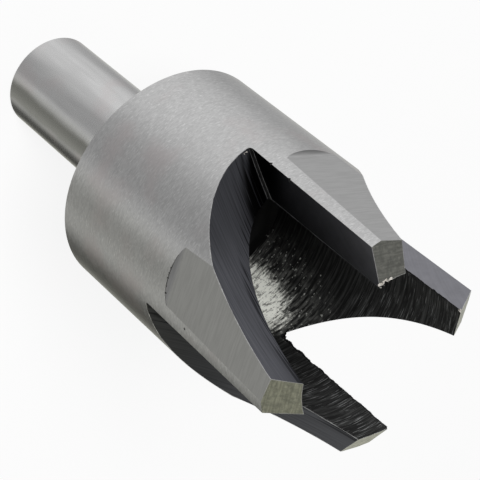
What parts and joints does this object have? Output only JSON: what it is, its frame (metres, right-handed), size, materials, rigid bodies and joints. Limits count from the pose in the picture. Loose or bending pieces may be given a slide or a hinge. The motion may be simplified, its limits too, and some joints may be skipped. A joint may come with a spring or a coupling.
{
  "type": "plug cutter",
  "caption": "Claw-pattern wood plug cutter: a steel cup with raked, ground prongs round a tapered blind bore, on a plain round shank.",
  "frame": {"origin": "centre of the flat end of the shank", "axes": "+Z along the tool's axis from the shank to the cutting tips, +X square to the relief flat of the first prong"},
  "size_m": [0.0222, 0.0222, 0.0501],
  "materials": {
    "steel": "turned and belt-brushed outside, smooth ground flats and tips, black oxide left in the bore and the notches"
  },
  "bodies": {
    "root": {"plug_cutter": "steel"}
  },
  "joints": []
}
